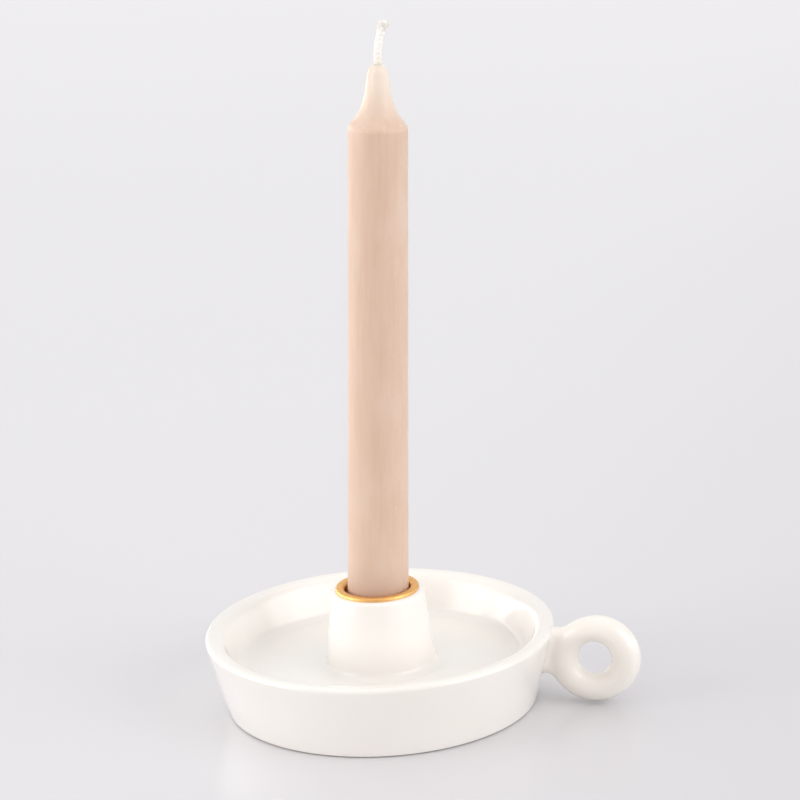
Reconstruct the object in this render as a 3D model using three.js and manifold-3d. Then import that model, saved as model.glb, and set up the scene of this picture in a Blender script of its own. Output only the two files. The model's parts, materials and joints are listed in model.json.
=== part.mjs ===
// A chamberstick: a turned dish with a finger ring, a socket post lined with a brass cup,
// and a dinner candle standing loosely in the cup.
// Millimetres, +Z up. The origin is on the dish's axis, on the surface the felt rests on,
// and the finger ring points along +X.

import * as THREE from 'three';
import { mergeVertices } from 'three/addons/utils/BufferGeometryUtils.js';
import Module from 'manifold-3d';

const wasm = await Module();
wasm.setup();

// ---------------------------------------------------------------- driving dimensions

const fit = {
  gap: 0.3, // left between pieces that touch or are glued
  candlePlay: 0.85, // radial play of the candle in its cup
};

const felt = {
  margin: 6.2, // from the dish's bottom edge in to the felt
  thickness: 1.5,
  proud: 0.3, // stands this far out of its recess
};

const dish = {
  rimRadius: 63.6, // outside, at the rim's corner before it is rounded
  rimHeight: 28.2,
  flare: 7.4, // the outside wall comes in by this much down to the bottom edge
  lipWidth: 6.3,
  lipFall: 0.4, // the lip slopes this much towards the inside
  insideFall: 5.8, // the inside wall comes in by this much down to the floor
  floorHeight: 14.3,
  baseRound: 0.6,
  rimRound: 1.7,
  lipRound: 3.4,
  floorRound: 3.2,
};

const post = {
  land: 1.5, // its top stands out past the cup's flange by this much
  taper: 3.2, // it widens by this much down to its foot's flare
  flare: 1.3, // and by this much more in the flare
  flareHeight: 2.4,
  flareRound: 5,
  height: 27.8, // above the dish floor
  topRound: 1.5,
  tenonRadius: 9,
  tenonLength: 9.5,
  tenonChamfer: 0.6,
};

const cup = {
  wall: 0.6,
  depth: 19, // from the bead's top to the inside floor
  flangeWidth: 2.65,
  beadRadius: 0.5,
  beadTurn: 144, // degrees, where the rolled bead meets the flange's top
  mouthRound: 0.9,
  bottomRound: 1.8,
};

const screw = {
  headRadius: 3.1,
  headHeight: 1.3,
  headRound: 0.5,
  shankRadius: 1.4,
  shankLength: 9.5,
  pointLength: 2,
  slotWidth: 0.8,
  slotDepth: 0.6,
};

const ring = {
  holeRadius: 6.15,
  barWidth: 10, // the bar that the ring is turned from, across its section
  thickness: 9.4,
  standOff: 17.4, // from the dish wall to the hole's centre, at the hole's height
  groundClearance: 0.9,
  neckTopDrop: 0.9, // the neck meets the wall this far below the rim
  neckBottom: 11.6,
  topTangent: 125, // degrees, where the neck's upper line leaves the ring
  bottomTangent: 250, // degrees, where its lower line leaves the ring
  edgeRound: 4.1,
  upperPull: 3.6, // how long the neck's upper line follows the ring's tangent
  lowerPull: 3.6,
  upperFlat: 1.8, // how long each line runs level from the wall
  lowerFlat: 4.5,
};

const dowel = {
  radius: 3,
  rise: 5.4, // its axis above the neck's underside
  inWall: 5.2,
  inNeck: 6.6,
  chamfer: 0.5,
};

const candle = {
  baseRadius: 11,
  shoulderRadius: 10.45,
  bodyLength: 184.2, // foot to shoulder
  neckRise: 9, // shoulder to the neck of the tip
  tipRise: 20.8, // shoulder to the top of the wax
  shoulderPull: 3.6, // how soon the shoulder turns into the neck
  neckRadius: 5,
  neckPull: 6.2,
  tipRadius: 3.3,
  tipRound: 1.2,
  footRound: 0.6,
  shoulderRound: 0.8,
  restGap: 0.336, // left between its foot and the screw head that it rests on
  lean: 3.03, // degrees, towards the finger ring
  lineX: 0.4, // where its axis crosses the cup's mouth
};

const wick = {
  radius: 1.35,
  exposed: 15,
  footInset: 0.5,
  bend: 1.6, // sideways, at its free end
  midBend: 0.5, // sideways, part of the way up its free end
  midRise: 8.2, // the height of that place above the wax
};

const facets = {
  dish: 72,
  post: 48,
  cup: 40,
  candle: 36,
  small: 20,
  wick: 8,
  wickSteps: 28,
  outline: 14,
  corner: 3,
  bevel: 5,
};

const roundShare = 0.49; // the most of the shorter side beside it that a rounding may take
const weldDistance = 1e-4;

// ---------------------------------------------------------------- derived places

const baseRadius = dish.rimRadius - dish.flare;
const lipInner = dish.rimRadius - dish.lipWidth;
const floorRadius = lipInner - dish.insideFall;
const feltRadius = baseRadius - felt.margin;
const floorTop = dish.floorHeight;
const postFoot = floorTop + fit.gap;
const postTop = floorTop + post.height;
const tenonEnd = postFoot - post.tenonLength;
const mortiseFloor = tenonEnd - fit.gap;
const recessCeiling = felt.thickness + fit.gap;

const cupInner = candle.baseRadius + fit.candlePlay;
const cupOuter = cupInner + cup.wall;
const flangeRadius = cupOuter + cup.flangeWidth;
const flangeUnder = postTop + fit.gap;
const flangeTop = flangeUnder + cup.wall;
const beadTop = flangeUnder + 2 * cup.beadRadius;
const cupFloor = beadTop - cup.depth;
const cupUnder = cupFloor - cup.wall;
const boreRadius = cupOuter + fit.gap;
const boreFloor = cupUnder - fit.gap;
const postTopRadius = flangeRadius + post.land;
const postNeckRadius = postTopRadius + post.taper;
const postFootRadius = postNeckRadius + post.flare;
const pilotRadius = screw.shankRadius + fit.gap;

const screwSeat = cupFloor + fit.gap;
const screwPoint = screwSeat - screw.shankLength;
const pilotFloor = screwPoint - fit.gap;

const ringOuter = ring.holeRadius + ring.barWidth;
const ringZ = ringOuter + ring.groundClearance;
const ringX = wallRadiusAt(ringZ) + ring.standOff;
const barRound = Math.min(ring.edgeRound, roundShare * Math.min(ring.thickness, ring.barWidth));
const pegHeight = ring.neckBottom + dowel.rise;

const lean = THREE.MathUtils.degToRad(candle.lean);
const candleSeat = fit.gap + screw.headHeight + candle.restGap + screw.headRadius * Math.sin(lean);
const candleSink = cup.depth - candleSeat;
const candleTop = candle.bodyLength + candle.tipRise;
const wickBore = wick.radius + fit.gap;

/** Outside radius of the dish's flared wall at a height. */
function wallRadiusAt(z) {
  const share = (z - felt.proud) / (dish.rimHeight - felt.proud);
  return baseRadius + dish.flare * share;
}

// ---------------------------------------------------------------- shape helpers

/** Turns corners [r, z, round] into a line whose corners are rounded with arcs. */
function softened(corners) {
  const line = [];
  corners.forEach(([x, y, round = 0], i) => {
    const here = new THREE.Vector2(x, y);
    const before = corners[i - 1];
    const after = corners[i + 1];
    if (!round || !before || !after) {
      line.push(here);
      return;
    }
    const back = new THREE.Vector2(before[0], before[1]).sub(here);
    const ahead = new THREE.Vector2(after[0], after[1]).sub(here);
    const half = back.angleTo(ahead) / 2;
    const room = Math.min(back.length(), ahead.length()) * roundShare;
    const reach = Math.min(round / Math.tan(half), room);
    const start = here.clone().add(back.setLength(reach));
    const end = here.clone().add(ahead.setLength(reach));
    const radius = reach * Math.tan(half);
    const centre = start.clone().add(end).multiplyScalar(0.5).sub(here)
      .setLength(Math.hypot(radius, reach)).add(here);
    const from = start.clone().sub(centre).angle();
    let sweep = end.clone().sub(centre).angle() - from;
    sweep -= 2 * Math.PI * Math.round(sweep / (2 * Math.PI));
    for (let k = 0; k <= facets.corner; k += 1) {
      const angle = from + (sweep * k) / facets.corner;
      line.push(new THREE.Vector2(Math.cos(angle), Math.sin(angle)).multiplyScalar(radius)
        .add(centre));
    }
  });
  return line;
}

/** A solid turned about Z from [r, z, round] corners. */
function turned(corners, segments) {
  return new THREE.LatheGeometry(softened(corners), segments).rotateX(Math.PI / 2);
}

/** Leaves only shared positions and proper triangles, ready for a boolean. */
function welded(geometry) {
  const bare = geometry.clone();
  bare.deleteAttribute('normal');
  bare.deleteAttribute('uv');
  const merged = mergeVertices(bare, weldDistance);
  const index = merged.getIndex();
  const kept = [];
  for (let i = 0; i < index.count; i += 3) {
    const [a, b, c] = [index.getX(i), index.getX(i + 1), index.getX(i + 2)];
    if (a !== b && b !== c && c !== a) kept.push(a, b, c);
  }
  merged.setIndex(kept);
  return merged;
}

function asSolid(geometry) {
  const clean = welded(geometry);
  return new wasm.Manifold(new wasm.Mesh({
    numProp: 3,
    vertProperties: new Float32Array(clean.attributes.position.array),
    triVerts: new Uint32Array(clean.getIndex().array),
  }));
}

function asGeometry(solid) {
  const mesh = solid.getMesh();
  const geometry = new THREE.BufferGeometry();
  geometry.setAttribute('position', new THREE.BufferAttribute(mesh.vertProperties, 3));
  geometry.setIndex(new THREE.BufferAttribute(mesh.triVerts, 1));
  geometry.computeVertexNormals();
  return geometry;
}

/** A geometry with other closed geometries cut out of it. */
function cut(geometry, ...tools) {
  const body = tools.reduce((rest, tool) => rest.subtract(asSolid(tool)), asSolid(geometry));
  return asGeometry(body);
}

function finish(color, roughness, metalness = 0) {
  return new THREE.MeshStandardMaterial({ color, roughness, metalness });
}

function piece(name, geometry, material) {
  const mesh = new THREE.Mesh(geometry, material);
  mesh.name = name;
  return mesh;
}

// ---------------------------------------------------------------- the wooden holder

function feltPad() {
  return turned([
    [0, 0],
    [feltRadius, 0],
    [feltRadius, felt.thickness],
    [0, felt.thickness],
  ], facets.dish);
}

/** The peg hole runs level through the wall's outside into the wood. */
function pegRun(radius, from, to) {
  const rod = new THREE.CylinderGeometry(radius, radius, to - from, facets.small);
  return rod.rotateZ(Math.PI / 2).translate((from + to) / 2, 0, pegHeight);
}

function dishBody() {
  const recess = feltRadius + fit.gap;
  const mortise = post.tenonRadius + fit.gap;
  const bowl = turned([
    [0, recessCeiling],
    [recess, recessCeiling],
    [recess, felt.proud],
    [baseRadius, felt.proud, dish.baseRound],
    [dish.rimRadius, dish.rimHeight, dish.rimRound],
    [lipInner, dish.rimHeight - dish.lipFall, dish.lipRound],
    [floorRadius, floorTop, dish.floorRound],
    [mortise, floorTop],
    [mortise, mortiseFloor],
    [0, mortiseFloor],
  ], facets.dish);
  const wall = wallRadiusAt(pegHeight);
  const pegHole = pegRun(dowel.radius + fit.gap, wall - dowel.inWall - fit.gap, wall + dish.lipWidth);
  return cut(bowl, pegHole);
}

function socketPost() {
  return turned([
    [0, tenonEnd],
    [post.tenonRadius, tenonEnd, post.tenonChamfer],
    [post.tenonRadius, postFoot],
    [postFootRadius, postFoot],
    [postNeckRadius, postFoot + post.flareHeight, post.flareRound],
    [postTopRadius, postTop, post.topRound],
    [boreRadius, postTop],
    [boreRadius, boreFloor],
    [pilotRadius, boreFloor],
    [pilotRadius, pilotFloor],
    [0, pilotFloor],
  ], facets.post);
}

/** Side view of the ring and its neck, in X and Z from the hole's centre. */
function ringOutline() {
  const at = (degrees, radius) => {
    const turn = THREE.MathUtils.degToRad(degrees);
    return new THREE.Vector2(Math.cos(turn) * radius, Math.sin(turn) * radius);
  };
  const neckTop = dish.rimHeight - ring.neckTopDrop - ringZ;
  const neckBottom = ring.neckBottom - ringZ;
  const wallTop = wallRadiusAt(neckTop + ringZ) - ringX;
  const wallBottom = wallRadiusAt(ring.neckBottom) - ringX;
  const inWall = wallBottom - dish.lipWidth;
  const upper = at(ring.topTangent, ringOuter);
  const lower = at(ring.bottomTangent, ringOuter);
  const upperPull = at(ring.topTangent + 90, ring.upperPull).add(upper);
  const lowerPull = at(ring.bottomTangent - 90, ring.lowerPull).add(lower);

  const side = new THREE.Shape();
  side.moveTo(inWall, neckBottom);
  side.lineTo(wallBottom + fit.gap, neckBottom);
  side.bezierCurveTo(wallBottom + ring.lowerFlat, neckBottom, lowerPull.x, lowerPull.y,
    lower.x, lower.y);
  side.absarc(0, 0, ringOuter, THREE.MathUtils.degToRad(ring.bottomTangent - 360),
    THREE.MathUtils.degToRad(ring.topTangent), false);
  side.bezierCurveTo(upperPull.x, upperPull.y, wallTop + ring.upperFlat, neckTop,
    wallTop + fit.gap, neckTop);
  side.lineTo(inWall, neckTop);
  side.closePath();

  const finger = new THREE.Path();
  finger.absarc(0, 0, ring.holeRadius, 0, 2 * Math.PI, true);
  side.holes.push(finger);
  return side;
}

function handleRing() {
  const flat = ring.thickness - 2 * barRound;
  const bar = new THREE.ExtrudeGeometry(ringOutline(), {
    depth: flat,
    curveSegments: facets.outline,
    bevelThickness: barRound,
    bevelSize: barRound,
    bevelOffset: -barRound,
    bevelSegments: facets.bevel,
  });
  bar.translate(0, 0, -flat / 2).rotateX(Math.PI / 2).translate(ringX, 0, ringZ);

  const below = felt.proud;
  const above = dish.rimHeight + ring.barWidth;
  const seat = fit.gap / Math.cos(Math.atan2(dish.flare, dish.rimHeight));
  const saddle = turned([
    [0, below],
    [wallRadiusAt(below) + seat, below],
    [wallRadiusAt(above) + seat, above],
    [0, above],
  ], facets.dish);
  const wall = wallRadiusAt(pegHeight);
  const pegHole = pegRun(dowel.radius + fit.gap, wall - dish.lipWidth, wall + dowel.inNeck + fit.gap);
  return cut(bar, saddle, pegHole);
}

function handleDowel() {
  const length = dowel.inWall + dowel.inNeck;
  const peg = turned([
    [0, 0],
    [dowel.radius, 0, dowel.chamfer],
    [dowel.radius, length, dowel.chamfer],
    [0, length],
  ], facets.small);
  return peg.rotateY(Math.PI / 2)
    .translate(wallRadiusAt(pegHeight) - dowel.inWall, 0, pegHeight);
}

// ---------------------------------------------------------------- the brass fittings

function candleCup() {
  const beadX = flangeRadius - cup.beadRadius;
  const beadZ = flangeUnder + cup.beadRadius;
  const beadEnd = THREE.MathUtils.degToRad(cup.beadTurn);
  const bead = new THREE.ArcCurve(beadX, beadZ, cup.beadRadius, -Math.PI / 2, beadEnd)
    .getPoints(2 * facets.corner).map(({ x, y }) => [x, y]);
  return turned([
    [pilotRadius, cupUnder],
    [cupOuter, cupUnder, cup.bottomRound + cup.wall],
    [cupOuter, flangeUnder],
    ...bead,
    [beadX - 2 * cup.beadRadius, flangeTop],
    [cupInner, flangeTop, cup.mouthRound],
    [cupInner, cupFloor, cup.bottomRound],
    [pilotRadius, cupFloor],
    [pilotRadius, cupUnder],
  ], facets.cup);
}

function cupScrew() {
  const top = screwSeat + screw.headHeight;
  const round = turned([
    [0, screwPoint],
    [screw.shankRadius, screwPoint + screw.pointLength],
    [screw.shankRadius, screwSeat],
    [screw.headRadius, screwSeat],
    [screw.headRadius, top, screw.headRound],
    [0, top],
  ], facets.small);
  const slot = new THREE.BoxGeometry(3 * screw.headRadius, screw.slotWidth, screw.slotDepth * 2);
  slot.translate(0, 0, top);
  return cut(round, slot);
}

// ---------------------------------------------------------------- the candle

/** The candle's pieces are made standing at their foot, then leaned together. */
function candleBody() {
  const shoulder = candle.bodyLength;
  const swell = new THREE.QuadraticBezierCurve(
    new THREE.Vector2(candle.shoulderRadius, shoulder),
    new THREE.Vector2(candle.neckPull, shoulder + candle.shoulderPull),
    new THREE.Vector2(candle.neckRadius, shoulder + candle.neckRise),
  ).getPoints(2 * facets.corner).map(({ x, y }) => [x, y]);
  return turned([
    [wickBore, 0],
    [candle.baseRadius, 0, candle.footRound],
    [candle.baseRadius, candleSink],
    [candle.shoulderRadius, shoulder, candle.shoulderRound],
    ...swell.slice(1),
    [candle.tipRadius, candleTop, candle.tipRound],
    [wickBore, candleTop],
    [wickBore, 0],
  ], facets.candle);
}

function wickBody() {
  const section = new THREE.Shape();
  section.absarc(0, 0, wick.radius, 0, 2 * Math.PI, false);
  const top = candleTop + wick.exposed;
  const path = new THREE.CatmullRomCurve3([
    new THREE.Vector3(0, 0, wick.footInset),
    new THREE.Vector3(0, 0, candleTop / 2),
    new THREE.Vector3(0, 0, candleTop - candle.tipRound),
    new THREE.Vector3(0, 0, candleTop + candle.tipRound),
    new THREE.Vector3(wick.midBend, 0, candleTop + wick.midRise),
    new THREE.Vector3(wick.bend, 0, top),
  ], false, 'centripetal');
  return new THREE.ExtrudeGeometry(section, {
    steps: facets.wickSteps,
    curveSegments: facets.wick,
    extrudePath: path,
  });
}

// ---------------------------------------------------------------- assembly

const lacquer = () => finish(0xf6f1ea, 0.22);
const holder = new THREE.Group();
holder.add(
  piece('felt_pad', feltPad(), finish(0x8a7f70, 0.95)),
  piece('dish', dishBody(), lacquer()),
  piece('socket_post', socketPost(), lacquer()),
  piece('handle_ring', handleRing(), lacquer()),
  piece('handle_dowel', handleDowel(), finish(0xc79f6b, 0.7)),
  piece('candle_cup', candleCup(), finish(0xd9a545, 0.35, 1)),
  piece('cup_screw', cupScrew(), finish(0xc9a24e, 0.35, 1)),
);

const leaning = new THREE.Group();
leaning.add(
  piece('candle', candleBody(), finish(0xdcb89c, 0.45)),
  piece('wick', wickBody(), finish(0xf2ead9, 0.9)),
);
leaning.rotation.y = lean;
leaning.position.set(
  candle.lineX - candleSink * Math.sin(lean),
  0,
  beadTop - candleSink * Math.cos(lean),
);

const candlestick = new THREE.Group();
candlestick.add(holder, leaning);

export default candlestick;
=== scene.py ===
"""A chamberstick: a white lacquered dish with a finger ring and a brass-lined socket, and its candle.

Lengths are in millimetres and are turned into metres where a mesh is made. The origin is on the
dish's axis, on the surface the felt rests on, and the finger ring points along +X.
"""

import json
import logging
import math
from collections.abc import Callable, Sequence
from dataclasses import dataclass, field
from enum import Enum
from typing import Any

import bmesh
import bpy
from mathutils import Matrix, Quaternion, Vector


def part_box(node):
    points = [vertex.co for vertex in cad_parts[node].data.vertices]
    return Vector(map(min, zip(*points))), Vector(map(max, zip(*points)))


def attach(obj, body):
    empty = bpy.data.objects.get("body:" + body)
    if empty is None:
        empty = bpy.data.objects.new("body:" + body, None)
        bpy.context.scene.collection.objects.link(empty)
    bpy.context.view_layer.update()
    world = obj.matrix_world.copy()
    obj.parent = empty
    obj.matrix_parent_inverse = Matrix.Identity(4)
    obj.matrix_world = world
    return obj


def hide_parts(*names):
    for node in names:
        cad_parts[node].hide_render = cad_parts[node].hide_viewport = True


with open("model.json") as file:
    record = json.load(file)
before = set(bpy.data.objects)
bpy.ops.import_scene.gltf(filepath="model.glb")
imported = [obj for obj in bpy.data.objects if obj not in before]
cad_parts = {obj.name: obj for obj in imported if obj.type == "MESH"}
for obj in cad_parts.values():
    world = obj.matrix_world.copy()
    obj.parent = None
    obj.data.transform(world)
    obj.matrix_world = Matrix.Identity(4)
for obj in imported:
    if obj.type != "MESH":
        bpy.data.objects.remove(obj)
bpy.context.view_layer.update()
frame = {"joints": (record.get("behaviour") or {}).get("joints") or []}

log = logging.getLogger("chamberstick")

MM = 0.001
FULL_TURN = 2 * math.pi
GOLDEN_TURN = math.pi * (3 - math.sqrt(5))
WELD = 0.004  # vertices nearer than this are one
SLIVER = 0.0004  # edges shorter than this are dropped
SHARED_SIDE = 0.49  # the most of a side that one of its two rounded corners takes
WHOLE_SIDE = 0.98  # the most of a side that its only rounded corner takes
MIX_FIRST, MIX_SECOND, MIX_RESULT = 6, 7, 2  # the colour sockets of a Mix node

Outline = list[tuple[float, float]]
Triple = tuple[float, float, float]
Colour = Triple
Run = tuple[float, float]
Weight = Callable[[Vector], float]


class Body(Enum):
    """The rigid bodies that pieces ride on."""

    HOLDER = "holder"
    CANDLE = "candle"


class Slot(Enum):
    """The record's material slots."""

    LACQUER = "lacquered_wood"
    BEECH = "bare_wood"
    BRASS = "brass"
    WAX = "wax"
    COTTON = "cotton"
    FELT = "felt"


class Part(Enum):
    """The parts of a mesh that are selected by their place."""

    POINTS = "VERT"
    FACES = "FACE"


def linear(colour: Colour) -> tuple[float, float, float, float]:
    """Turns a colour as it is seen on a screen into the shader's linear one.

    Args:
        colour: Red, green and blue from 0 to 1 as seen.

    Returns:
        The linear colour, with an alpha of one.
    """
    parts = [c / 12.92 if c <= 0.04045 else ((c + 0.055) / 1.055) ** 2.4 for c in colour]
    return (*parts, 1.0)


def climb(value: float, start: float, end: float) -> float:
    """Gives 0 before the start, 1 past the end and a straight climb between them."""
    return min(1.0, max(0.0, (value - start) / (end - start)))


def span(node: str) -> tuple[Vector, Vector]:
    """Gives a frame node's lowest and highest corners at rest, in millimetres."""
    low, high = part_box(node)
    return low / MM, high / MM


# ---- shader expressions


def maths(operation: str, swapped: bool = False) -> Callable[..., "Signal"]:
    """Makes a method of Signal that adds one Math node.

    Args:
        operation: The node's operation.
        swapped: Whether the signal is the last value and not the first.

    Returns:
        The method.
    """

    def added(signal: "Signal", *others: "Signal | float") -> "Signal":
        """Adds the node and gives its result."""
        values = (*others, signal) if swapped else (signal, *others)
        return signal.recipe.node("ShaderNodeMath", {"operation": operation}, dict(enumerate(values)))

    return added


class Signal:
    """A shader socket that takes part in arithmetic: each operator adds one Math node."""

    def __init__(self, recipe: "Recipe", socket: bpy.types.NodeSocket) -> None:
        """Keeps the socket and the recipe that new nodes go into."""
        self.recipe = recipe
        self.socket = socket

    __add__ = __radd__ = maths("ADD")
    __sub__ = maths("SUBTRACT")
    __rsub__ = maths("SUBTRACT", swapped=True)
    __mul__ = __rmul__ = maths("MULTIPLY")
    __truediv__ = maths("DIVIDE")
    __rtruediv__ = maths("DIVIDE", swapped=True)
    __pow__ = maths("POWER")
    sine = maths("SINE")
    size = maths("ABSOLUTE")

    def above(self, low: float, high: float) -> "Signal":
        """Ramps smoothly from 0 at and below low to 1 at and above high."""
        sockets = {"Value": self, "From Min": low, "From Max": high}
        return self.recipe.node("ShaderNodeMapRange", {"interpolation_type": "SMOOTHSTEP"}, sockets)

    def between(self, first: float, second: float) -> "Signal":
        """Gives the first number where the signal is 0 and the second where it is 1."""
        return self * (second - first) + first


@dataclass(frozen=True)
class Mottle:
    """A soft random pattern, the part of its range over which it shows, and how much it shows.

    The grain is the size of its features in millimetres, the detail how many finer layers it has,
    the keep how strong each finer layer is against the last, and the stretch how much longer its
    features are along X, Y and Z.
    """

    grain: float
    detail: float
    run: Run = (0.0, 1.0)
    share: float = 1.0
    stretch: Triple = (1.0, 1.0, 1.0)
    keep: float = 0.55

    def mask(self, value: Signal) -> Signal:
        """Turns the pattern's own value into how much it shows."""
        return value.above(*self.run) * self.share


class Recipe:
    """The node tree of one finish or of the surroundings."""

    def __init__(self, owner: bpy.types.Material | bpy.types.World) -> None:
        """Empties the owner's node tree and takes it over.

        Args:
            owner: The material or world.
        """
        owner.use_nodes = True
        self.tree = owner.node_tree
        self.tree.nodes.clear()

    def node(
        self,
        kind: str,
        settings: dict[str, Any] | None = None,
        sockets: dict[str | int, Any] | None = None,
        out: str | int = 0,
    ) -> Signal:
        """Adds a node.

        Args:
            kind: The node's type.
            settings: Its properties, set first.
            sockets: Values or signals for its inputs, by name or number.
            out: The output that is wanted, by name or number.

        Returns:
            That output, or the first input of a node that ends the tree.
        """
        made = self.tree.nodes.new(kind)
        for name, value in (settings or {}).items():
            setattr(made, name, value)
        for name, value in (sockets or {}).items():
            if isinstance(value, Signal):
                self.tree.links.new(value.socket, made.inputs[name])
            else:
                made.inputs[name].default_value = value
        return Signal(self, (made.outputs or made.inputs)[out])

    def vector(self, operation: str, first: Signal, second: Triple | float) -> Signal:
        """Adds a Vector Math node on coordinates and a vector, or a number for SCALE."""
        other = "Scale" if operation == "SCALE" else 1
        return self.node("ShaderNodeVectorMath", {"operation": operation}, {0: first, other: second})

    def turned(self, place: Signal, turn: Triple) -> Signal:
        """Turns coordinates by angles about X, Y and Z."""
        return self.node("ShaderNodeMapping", {"vector_type": "POINT"}, {"Vector": place, "Rotation": turn})

    def place(self, centre: Vector | None = None) -> Signal:
        """Gives the object's own coordinates in millimetres, counted from a point."""
        scaled = self.vector("SCALE", self.node("ShaderNodeTexCoord", out="Object"), 1 / MM)
        return self.vector("SUBTRACT", scaled, tuple(centre or (0.0, 0.0, 0.0)))

    def axes(self, place: Signal) -> tuple[Signal, Signal, Signal]:
        """Splits coordinates into X, Y and Z."""
        split = self.node("ShaderNodeSeparateXYZ", sockets={0: place}).socket.node
        return tuple(Signal(self, out) for out in split.outputs)

    def noise(self, place: Signal, mottle: Mottle) -> Signal:
        """Adds a random pattern.

        Args:
            place: Coordinates in millimetres.
            mottle: The pattern.

        Returns:
            Its value, which wanders about 0.5.
        """
        ratio = tuple(1 / (mottle.grain * s) for s in mottle.stretch)
        sockets = {
            "Vector": self.vector("MULTIPLY", place, ratio),
            "Scale": 1.0,
            "Detail": mottle.detail,
            "Roughness": mottle.keep,
        }
        return self.node("ShaderNodeTexNoise", {"noise_dimensions": "3D"}, sockets)

    def mottle(self, place: Signal, mottle: Mottle) -> Signal:
        """Adds a random pattern and gives how much it shows at a place."""
        return mottle.mask(self.noise(place, mottle))

    def specks(self, place: Signal, spacing: float, radius: float) -> Signal:
        """Adds scattered round specks.

        Args:
            place: Coordinates in millimetres.
            spacing: The usual distance between them.
            radius: Their radius as a share of the spacing.

        Returns:
            1 on a speck and 0 elsewhere.
        """
        sockets = {"Vector": self.vector("SCALE", place, 1 / spacing), "Scale": 1.0}
        near = self.node("ShaderNodeTexVoronoi", {"feature": "F1"}, sockets, out="Distance")
        return 1.0 - near.above(radius * 0.5, radius)

    def blend(self, share: Signal, first: Signal | Colour, second: Colour) -> Signal:
        """Mixes two colours.

        Args:
            share: 0 for the first and 1 for the second.
            first: A mixed colour, or one as seen.
            second: A colour as seen.

        Returns:
            The mixed colour.
        """
        start = first if isinstance(first, Signal) else linear(first)
        sockets = {0: share, MIX_FIRST: start, MIX_SECOND: linear(second)}
        return self.node("ShaderNodeMix", {"data_type": "RGBA"}, sockets, MIX_RESULT)

    def bump(self, height: Signal, depth: float, base: Signal | None = None) -> Signal:
        """Turns a height into a bumped normal.

        Args:
            height: The height, where 1 stands for the full depth.
            depth: The full depth in millimetres.
            base: A bumped normal below this one.

        Returns:
            The normal.
        """
        sockets = {"Strength": 1.0, "Distance": depth * MM, "Height": height}
        if base is not None:
            sockets["Normal"] = base
        return self.node("ShaderNodeBump", sockets=sockets)

    def surface(self, sockets: dict[str, Any]) -> None:
        """Ends a material's tree with a surface of the given values and signals."""
        shader = self.node("ShaderNodeBsdfPrincipled", sockets=sockets)
        self.node("ShaderNodeOutputMaterial", sockets={"Surface": shader})


# ---- finishes


@dataclass(frozen=True)
class Finish:
    """A procedural finish, made once for each piece that wears it."""

    name: str

    def material(self) -> bpy.types.Material:
        """Makes the finish's material.

        Returns:
            The material.
        """
        made = bpy.data.materials.new(self.name)
        self.mix(Recipe(made))
        return made

    def mix(self, recipe: Recipe) -> None:
        """Builds the finish's nodes in a recipe."""
        raise NotImplementedError


@dataclass(frozen=True)
class Lacquer(Finish):
    """Warm white lacquer, sprayed over turned wood."""

    name: str = "white_lacquer"
    colour: Colour = (0.975, 0.963, 0.948)
    shade: Colour = (0.962, 0.945, 0.925)
    cast: Mottle = Mottle(38.0, 0.0, (0.35, 0.65), 0.6)
    speck: Colour = (0.90, 0.84, 0.74)
    speck_spacing: float = 14.0
    speck_size: float = 0.02
    speck_share: float = 0.5
    peel: Mottle = Mottle(2.2, 1.0)
    peel_depth: float = 0.0022
    rings: bool = True
    ring_pitch: float = 1.5
    ring_depth: float = 0.0016
    ring_slope: float = 0.8
    ring_fade: Mottle = Mottle(24.0, 0.0, (0.4, 0.65))
    sway: Mottle = Mottle(16.0, 0.0)
    sway_reach: float = 4.0
    smears: Mottle = Mottle(18.0, 1.0)
    roughness: Run = (0.29, 0.35)
    coat: float = 0.9
    coat_roughness: float = 0.08

    def mix(self, recipe: Recipe) -> None:
        """Builds a glossy coat with orange peel, faint turning rings, a warmer cast and a few specks.

        Args:
            recipe: The node tree that they go into.
        """
        place = recipe.place()
        tone = recipe.blend(recipe.mottle(place, self.cast), self.colour, self.shade)
        specks = recipe.specks(place, self.speck_spacing, self.speck_size)
        tone = recipe.blend(specks * self.speck_share, tone, self.speck)
        normal = recipe.bump(recipe.noise(place, self.peel), self.peel_depth)
        if self.rings:
            x, y, z = recipe.axes(place)
            out = (x * x + y * y) ** 0.5
            sway = recipe.noise(place, self.sway) * self.sway_reach
            phase = (out * self.ring_slope + z) * (FULL_TURN / self.ring_pitch) + sway
            fade = recipe.mottle(place, self.ring_fade)
            normal = recipe.bump(phase.sine() * fade, self.ring_depth, normal)
        recipe.surface({
            "Base Color": tone,
            "Roughness": recipe.noise(place, self.smears).between(*self.roughness),
            "Coat Weight": self.coat,
            "Coat Roughness": self.coat_roughness,
            "Normal": normal,
        })


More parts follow.
